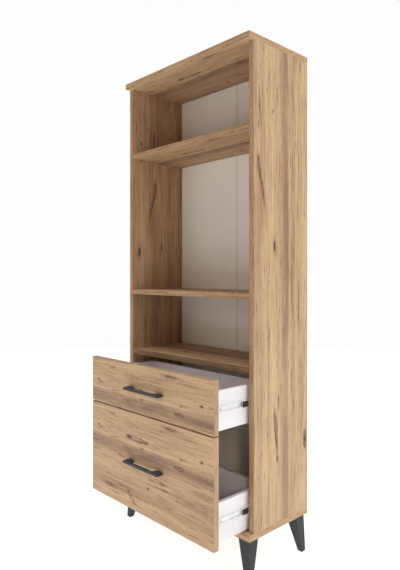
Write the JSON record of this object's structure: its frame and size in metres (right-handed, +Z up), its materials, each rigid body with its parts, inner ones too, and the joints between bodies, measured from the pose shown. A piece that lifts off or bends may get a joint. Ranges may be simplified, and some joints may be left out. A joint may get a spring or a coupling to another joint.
{
  "type": "bookcase with bottom drawers",
  "caption": "Tall narrow open bookcase on tapered legs: open shelf bays above, wide overlay drawers on ball-bearing slides below, shown pulled part way out.",
  "frame": {"origin": "on the floor, below the middle of the object's bounding box at rest, with both drawers pulled 140 mm out", "axes": "+Z up; -Y out of the open front, the way the drawers pull; +X to the right of a person facing the open front"},
  "size_m": [0.6, 0.444, 1.578],
  "materials": {
    "oak_decor_board": "18 mm chipboard in a matt rustic oak decor with knots and cracks, edges banded in the same decor",
    "white_board": "smooth matt white faced board",
    "back_hardboard": "thin hardboard with a plain matt grey-beige face",
    "joint_strip_plastic": "extruded plastic strip in the back's colour",
    "black_lacquered_wood": "solid wood in matt black lacquer",
    "black_plastic": "plain black plastic",
    "black_handle_metal": "matt black powder coat on cast metal",
    "bright_zinc_steel": "bright zinc-plated sheet steel",
    "dark_zinc_steel": "dull zinc-plated steel",
    "fastener_steel": "zinc-plated steel",
    "beech_dowel": "plain beech"
  },
  "bodies": {
    "cabinet": {"back_joint_strip": "joint_strip_plastic", "back_sheet_left": "back_hardboard", "back_sheet_right": "back_hardboard", "bottom_board": "oak_decor_board", "cabinet_rail_screws": "fastener_steel", "cam_bolts": "fastener_steel", "cam_discs": "fastener_steel", "confirmat_screws": "fastener_steel", "foot_glides": "black_plastic", "front_left_leg": "black_lacquered_wood", "front_right_leg": "black_lacquered_wood", "left_side": "oak_decor_board", "leg_bolts": "fastener_steel", "leg_plate_screws": "fastener_steel", "leg_plates": "fastener_steel", "lower_left_cabinet_rail": "bright_zinc_steel", "lower_right_cabinet_rail": "bright_zinc_steel", "lower_shelf": "oak_decor_board", "middle_shelf": "oak_decor_board", "rear_left_leg": "black_lacquered_wood", "rear_right_leg": "black_lacquered_wood", "right_side": "oak_decor_board", "shelf_pins": "fastener_steel", "top_board": "oak_decor_board", "upper_left_cabinet_rail": "bright_zinc_steel", "upper_right_cabinet_rail": "bright_zinc_steel", "upper_shelf": "oak_decor_board", "wooden_dowels": "beech_dowel"},
    "lower_drawer": {"lower_drawer_bottom": "white_board", "lower_drawer_box_back": "white_board", "lower_drawer_box_front": "white_board", "lower_drawer_box_left": "white_board", "lower_drawer_box_right": "white_board", "lower_drawer_dowels": "beech_dowel", "lower_drawer_front": "oak_decor_board", "lower_drawer_front_screws": "fastener_steel", "lower_drawer_handle": "black_handle_metal", "lower_drawer_handle_screws": "fastener_steel", "lower_drawer_left_rail": "bright_zinc_steel", "lower_drawer_rail_screws": "fastener_steel", "lower_drawer_right_rail": "bright_zinc_steel"},
    "lower_inner_cages": {"lower_inner_ball_cages": "dark_zinc_steel"},
    "lower_middle_rails": {"lower_middle_rails": "dark_zinc_steel"},
    "lower_outer_cages": {"lower_outer_ball_cages": "dark_zinc_steel"},
    "upper_drawer": {"upper_drawer_bottom": "white_board", "upper_drawer_box_back": "white_board", "upper_drawer_box_front": "white_board", "upper_drawer_box_left": "white_board", "upper_drawer_box_right": "white_board", "upper_drawer_dowels": "beech_dowel", "upper_drawer_front": "oak_decor_board", "upper_drawer_front_screws": "fastener_steel", "upper_drawer_handle": "black_handle_metal", "upper_drawer_handle_screws": "fastener_steel", "upper_drawer_left_rail": "bright_zinc_steel", "upper_drawer_rail_screws": "fastener_steel", "upper_drawer_right_rail": "bright_zinc_steel"},
    "upper_inner_cages": {"upper_inner_ball_cages": "dark_zinc_steel"},
    "upper_middle_rails": {"upper_middle_rails": "dark_zinc_steel"},
    "upper_outer_cages": {"upper_outer_ball_cages": "dark_zinc_steel"}
  },
  "joints": [
    {"name": "upper_drawer_slide", "type": "slide", "parent": "cabinet", "child": "upper_drawer", "axis": [0, -1, 0], "range_m": [-0.14, 0.08]},
    {"name": "upper_middle_rails_slide", "type": "slide", "parent": "cabinet", "child": "upper_middle_rails", "axis": [0, -1, 0], "range_m": [-0.07, 0.04]},
    {"name": "upper_outer_cages_slide", "type": "slide", "parent": "cabinet", "child": "upper_outer_cages", "axis": [0, -1, 0], "range_m": [-0.035, 0.02]},
    {"name": "upper_inner_cages_slide", "type": "slide", "parent": "cabinet", "child": "upper_inner_cages", "axis": [0, -1, 0], "range_m": [-0.105, 0.06]},
    {"name": "lower_drawer_slide", "type": "slide", "parent": "cabinet", "child": "lower_drawer", "axis": [0, -1, 0], "range_m": [-0.14, 0.08]},
    {"name": "lower_middle_rails_slide", "type": "slide", "parent": "cabinet", "child": "lower_middle_rails", "axis": [0, -1, 0], "range_m": [-0.07, 0.04]},
    {"name": "lower_outer_cages_slide", "type": "slide", "parent": "cabinet", "child": "lower_outer_cages", "axis": [0, -1, 0], "range_m": [-0.035, 0.02]},
    {"name": "lower_inner_cages_slide", "type": "slide", "parent": "cabinet", "child": "lower_inner_cages", "axis": [0, -1, 0], "range_m": [-0.105, 0.06]}
  ],
  "couplings": [
    {"joint": "upper_middle_rails_slide", "follows": "upper_drawer_slide", "ratio": 0.5},
    {"joint": "upper_outer_cages_slide", "follows": "upper_drawer_slide", "ratio": 0.25},
    {"joint": "upper_inner_cages_slide", "follows": "upper_drawer_slide", "ratio": 0.75},
    {"joint": "lower_middle_rails_slide", "follows": "lower_drawer_slide", "ratio": 0.5},
    {"joint": "lower_outer_cages_slide", "follows": "lower_drawer_slide", "ratio": 0.25},
    {"joint": "lower_inner_cages_slide", "follows": "lower_drawer_slide", "ratio": 0.75}
  ]
}
